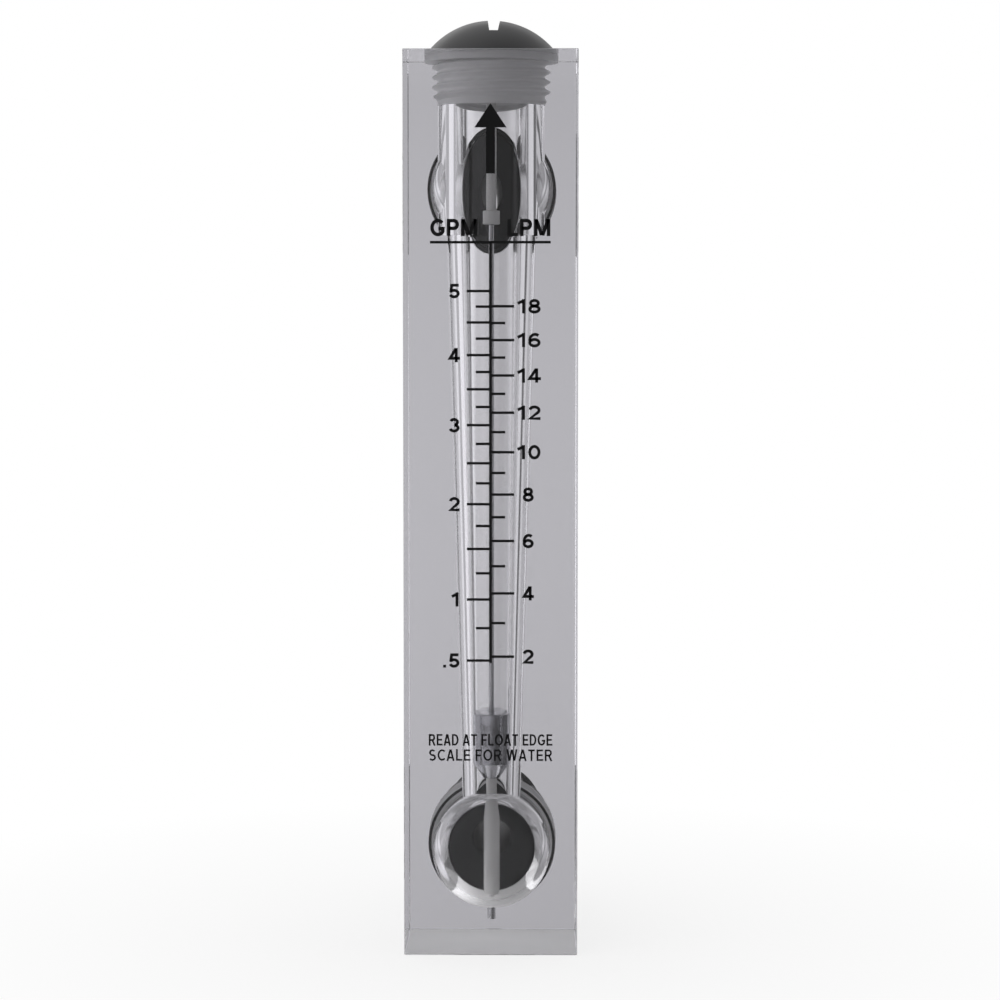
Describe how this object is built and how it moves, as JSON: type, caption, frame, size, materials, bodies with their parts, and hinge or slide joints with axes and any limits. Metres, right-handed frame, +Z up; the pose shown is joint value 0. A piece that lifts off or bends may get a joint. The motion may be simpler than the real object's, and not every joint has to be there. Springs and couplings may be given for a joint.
{
  "type": "panel mount water flow meter",
  "caption": "Clear acrylic panel flow meter: a tapered bore with a float on a guide rod, a screwed top plug, and threaded rear ports with panel nuts.",
  "frame": {"origin": "on the block's back face, which seats on the panel, midway between the two ports", "axes": "+Z up along the tapered bore, +Y out of the back through the ports, +X to the right seen from the front"},
  "size_m": [0.035, 0.068, 0.1896],
  "materials": {
    "clear_acrylic": "polished clear acrylic",
    "black_plug_plastic": "moulded black plastic",
    "black_adapter_plastic": "moulded black plastic",
    "black_rubber": "moulded rubber",
    "rod_steel": "drawn stainless wire",
    "float_steel": "turned stainless steel",
    "stop_plastic": "turned fluoropolymer"
  },
  "bodies": {
    "meter": {"meter_body": "clear_acrylic", "guide_rod": "rod_steel", "lower_float_stop": "stop_plastic", "upper_float_stop": "stop_plastic", "inlet_adapter": "black_adapter_plastic", "inlet_o_ring": "black_rubber", "outlet_adapter": "black_adapter_plastic", "outlet_o_ring": "black_rubber"},
    "float": {"float": "float_steel"},
    "plug_seal": {"plug_o_ring": "black_rubber"},
    "plug": {"top_plug": "black_plug_plastic"},
    "inlet_washer": {"inlet_panel_washer": "black_rubber"},
    "inlet_nut": {"inlet_panel_nut": "black_adapter_plastic"},
    "outlet_washer": {"outlet_panel_washer": "black_rubber"},
    "outlet_nut": {"outlet_panel_nut": "black_adapter_plastic"}
  },
  "joints": [
    {"name": "float_slide", "type": "slide", "parent": "meter", "child": "float", "axis": [0, 0, 1], "range_m": [0, 0.10025]},
    {"name": "plug_lift", "type": "slide", "parent": "meter", "child": "plug_seal", "axis": [0, 0, 1], "range_m": [0, 0.0061]},
    {"name": "plug_turn", "type": "hinge", "parent": "plug_seal", "child": "plug", "pos_m": [0, -0.0175, 0.0945], "axis": [0, 0, 1], "range_deg": [0, 1080]},
    {"name": "inlet_nut_travel", "type": "slide", "parent": "meter", "child": "inlet_washer", "axis": [0, 1, 0], "range_m": [-0.00048, 0.0061]},
    {"name": "inlet_nut_turn", "type": "hinge", "parent": "inlet_washer", "child": "inlet_nut", "pos_m": [0, 0, -0.06765], "axis": [0, 1, 0], "range_deg": [-110, 1440]},
    {"name": "outlet_nut_travel", "type": "slide", "parent": "meter", "child": "outlet_washer", "axis": [0, 1, 0], "range_m": [-0.00048, 0.0061]},
    {"name": "outlet_nut_turn", "type": "hinge", "parent": "outlet_washer", "child": "outlet_nut", "pos_m": [0, 0, 0.06765], "axis": [0, 1, 0], "range_deg": [-110, 1440]}
  ],
  "couplings": [
    {"joint": "plug_lift", "follows": "plug_turn", "m_per_rad": 0.00031831},
    {"joint": "inlet_nut_travel", "follows": "inlet_nut_turn", "m_per_rad": 0.00023873},
    {"joint": "outlet_nut_travel", "follows": "outlet_nut_turn", "m_per_rad": 0.00023873}
  ]
}
